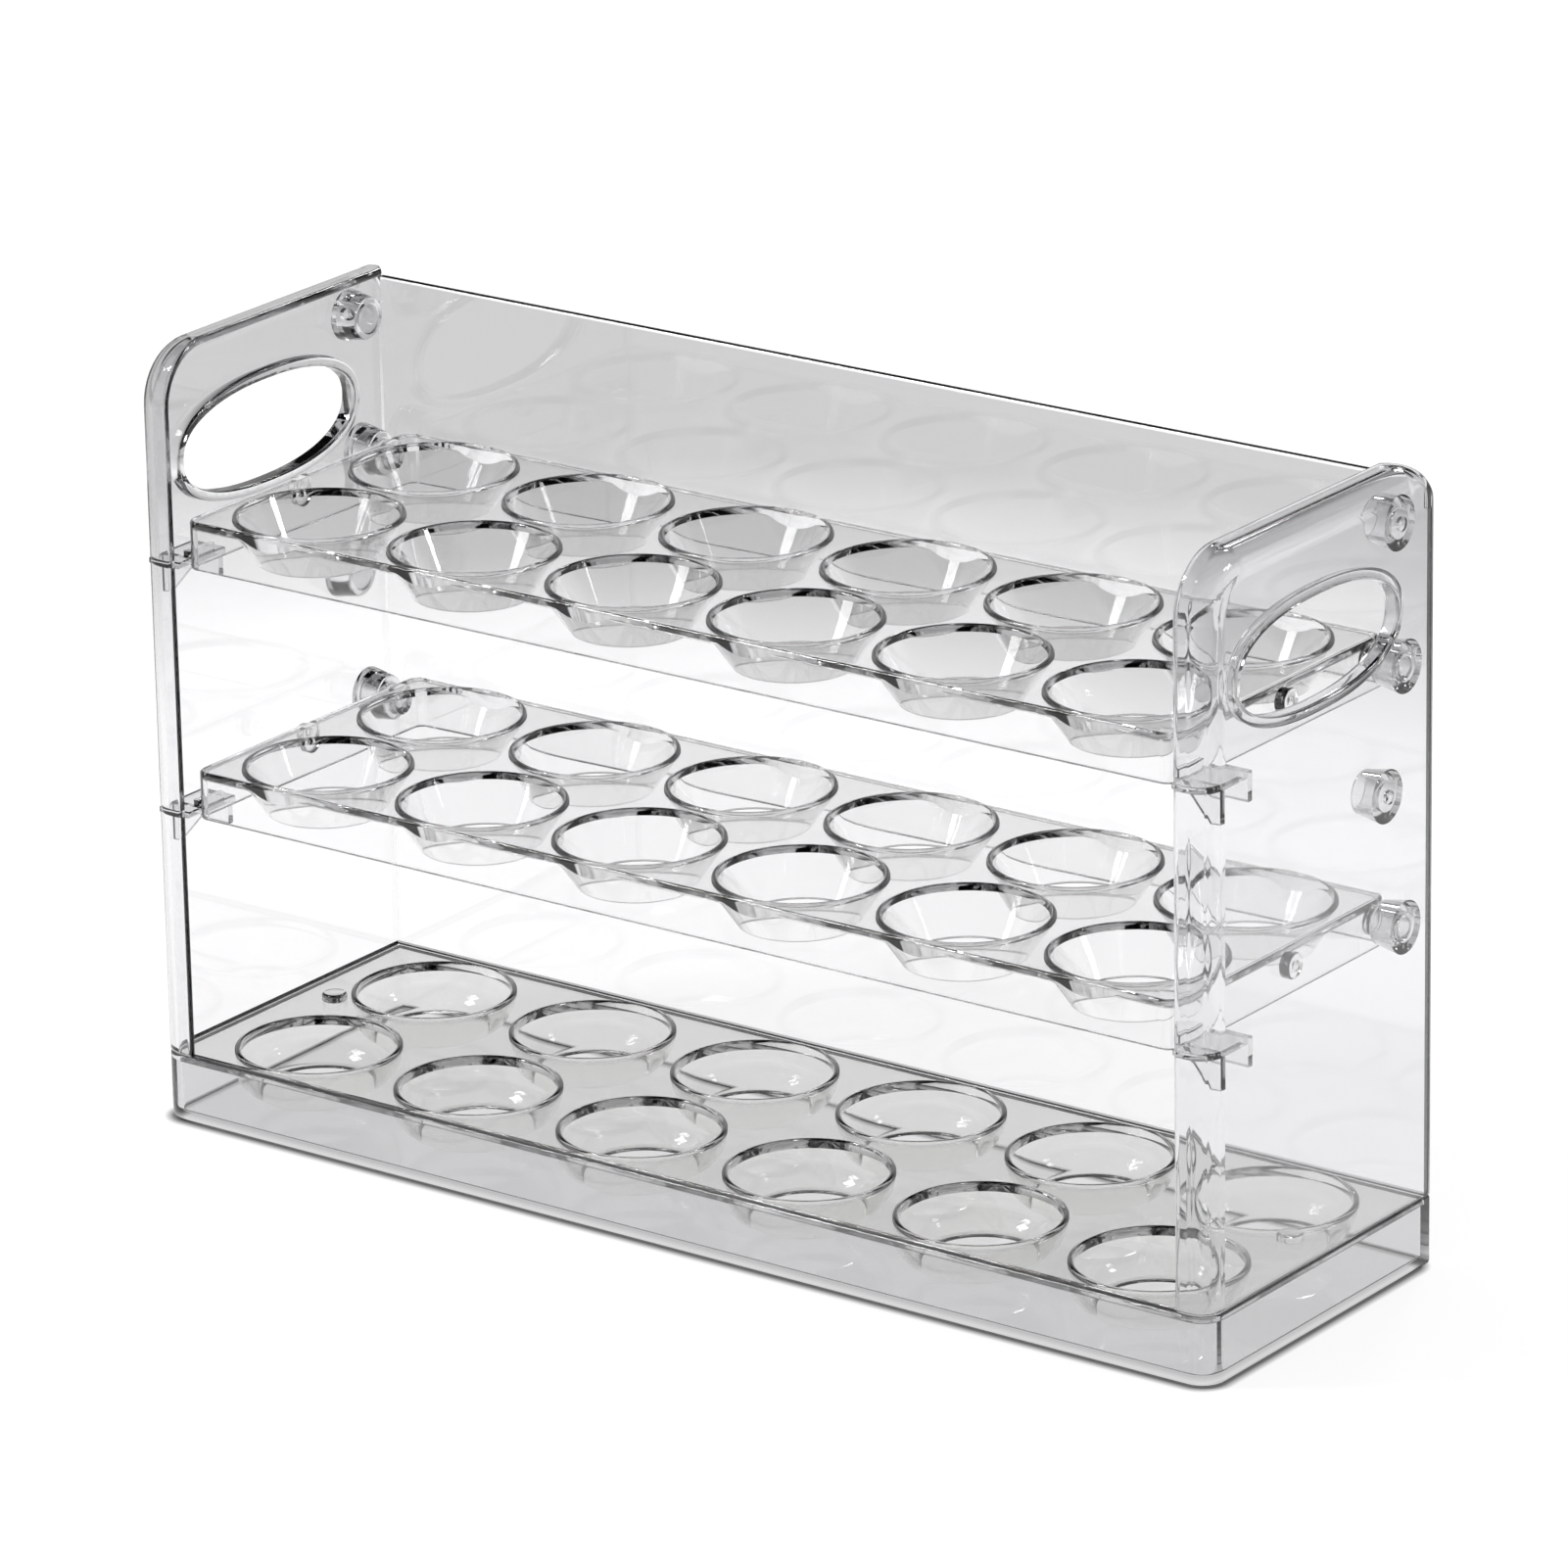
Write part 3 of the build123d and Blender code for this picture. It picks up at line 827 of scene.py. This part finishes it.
# Painted contact shadow: a narrow dark line in the floor's glow where the base's rounded foot meets the
# floor
straight_part = ((half_length - front_corner) * MM, (half_depth - front_corner) * MM, 0)
rim = add_node(tree, "ShaderNodeMath", {"operation": "SUBTRACT", 1: front_corner * MM}, {
    0: outside_of(tree, folded, straight_part),
})
under = add_node(tree, "ShaderNodeMapRange", {
    "From Min": -0.005, "From Max": -0.002, "To Min": 1.0, "To Max": 0.08,
}, {"Value": rim.outputs[0]})
beside = add_node(tree, "ShaderNodeMapRange", {
    "From Min": 0.0, "From Max": 0.0025, "To Min": 0.0, "To Max": 0.92,
}, {"Value": rim.outputs[0]})
painted_contact_shadow = add_node(tree, "ShaderNodeMath", {"operation": "ADD"}, {
    0: under.outputs[0], 1: beside.outputs[0],
})
# The painted contact shadow also darkens the painted pool of light
painted_light_pool = add_node(tree, "ShaderNodeMath", {"operation": "MULTIPLY"}, {
    0: painted_light_pool.outputs[0], 1: painted_contact_shadow.outputs[0],
})
# The floor's glow for rays through the plastic, which carries the painted pool of light and the painted
# contact shadow
inside_glow = add_node(tree, "ShaderNodeEmission", {}, {"Strength": painted_light_pool.outputs[0]})
# The eye sees the floor's even glow with the painted contact shadow in it
seen_glow = add_node(tree, "ShaderNodeMath", {"operation": "MULTIPLY", 1: 0.86}, {0: painted_contact_shadow.outputs[0]})
outside_glow = add_node(tree, "ShaderNodeEmission", {}, {"Strength": seen_glow.outputs[0]})
first_glow = add_node(tree, "ShaderNodeMixShader", {}, {
    0: seen_rays["Is Camera Ray"], 2: outside_glow.outputs[0],
})
glow = add_node(tree, "ShaderNodeMixShader", {}, {
    0: through, 1: first_glow.outputs[0], 2: inside_glow.outputs[0],
})
both = add_node(tree, "ShaderNodeAddShader", {}, {0: matt.outputs[0], 1: glow.outputs[0]})
add_node(tree, "ShaderNodeOutputMaterial", {}, {"Surface": both.outputs[0]})
floor_mesh.materials.append(paper)

# The surround: white to the eye, and for the plastic bright up to 21 degrees and dark above 25
world = bpy.data.worlds.new("white surround")
world.use_nodes = True
tree = world.node_tree
tree.nodes.clear()
seen_rays, through = ray_kinds(tree)
direction = add_node(tree, "ShaderNodeTexCoord").outputs["Generated"]
height = add_node(tree, "ShaderNodeSeparateXYZ", {}, {0: direction})
fading = add_node(tree, "ShaderNodeMapRange", {
    "From Min": 0.36, "From Max": 0.42, "To Min": 0.7, "To Max": 0.02,
}, {"Value": height.outputs["Z"]})
soft = add_node(tree, "ShaderNodeBackground", {"Color": (1, 1, 1, 1), "Strength": 0.45})
white = add_node(tree, "ShaderNodeBackground", {"Color": (1, 1, 1, 1), "Strength": 1.0})
studio = add_node(tree, "ShaderNodeBackground", {"Color": (1, 1, 1, 1)}, {"Strength": fading.outputs[0]})
direct = add_node(tree, "ShaderNodeMixShader", {}, {
    0: seen_rays["Is Camera Ray"], 1: soft.outputs[0], 2: white.outputs[0],
})
surround = add_node(tree, "ShaderNodeMixShader", {}, {
    0: through, 1: direct.outputs[0], 2: studio.outputs[0],
})
add_node(tree, "ShaderNodeOutputWorld", {}, {"Surface": surround.outputs[0]})
bpy.context.scene.world = world

# Soft lamps: name, place and width in metres, and power in watts
softboxes = (
    ("key_softbox", (-0.9, -0.7, 1.3), 0.35, 12),
    ("fill_softbox", (1.2, 0.6, 1.1), 0.22, 4),
    ("rim_softbox", (-0.3, 1.2, 1.2), 0.2, 3),
)
for name, spot, size, power in softboxes:
    lamp = bpy.data.lights.new(name, "AREA")
    lamp.size = size
    lamp.energy = power
    lamp_object = bpy.data.objects.new(name, lamp)
    lamp_object.location = spot
    lamp_object.rotation_euler = (Vector((0, 0, 0.1)) - Vector(spot)).to_track_quat("-Z", "Y").to_euler()
    bpy.context.scene.collection.objects.link(lamp_object)

# Camera at the photograph's angle, from a fit to the corners of the object
camera_spot = Vector((1308.518, -1756.235, 878.215)) * MM
camera_yaw = 0.63934
camera_pitch = 0.3384
camera_roll = -0.01863
photo_width = 1601
focal_pixels = 9595.6
ahead = Vector((
    -sin(camera_yaw) * cos(camera_pitch), cos(camera_yaw) * cos(camera_pitch), -sin(camera_pitch),
))
level = Vector((cos(camera_yaw), sin(camera_yaw), 0))
upright = level.cross(ahead)
right_hand = level * cos(camera_roll) + upright * sin(camera_roll)
overhead = upright * cos(camera_roll) - level * sin(camera_roll)
camera_data = bpy.data.cameras.new("camera")
camera_data.sensor_width = 36
camera_data.lens = focal_pixels / photo_width * camera_data.sensor_width
camera_data.clip_start = 0.05
camera = bpy.data.objects.new("camera", camera_data)
turn = Matrix((right_hand, overhead, -ahead)).transposed().to_4x4()
camera.matrix_world = Matrix.Translation(camera_spot) @ turn
bpy.context.scene.collection.objects.link(camera)
bpy.context.scene.camera = camera
bpy.context.scene.view_settings.view_transform = "Standard"
bpy.context.scene.cycles.max_bounces = 32
bpy.context.scene.cycles.transmission_bounces = 32
bpy.context.scene.cycles.glossy_bounces = 12
bpy.context.scene.cycles.caustics_refractive = False
bpy.context.scene.cycles.caustics_reflective = False
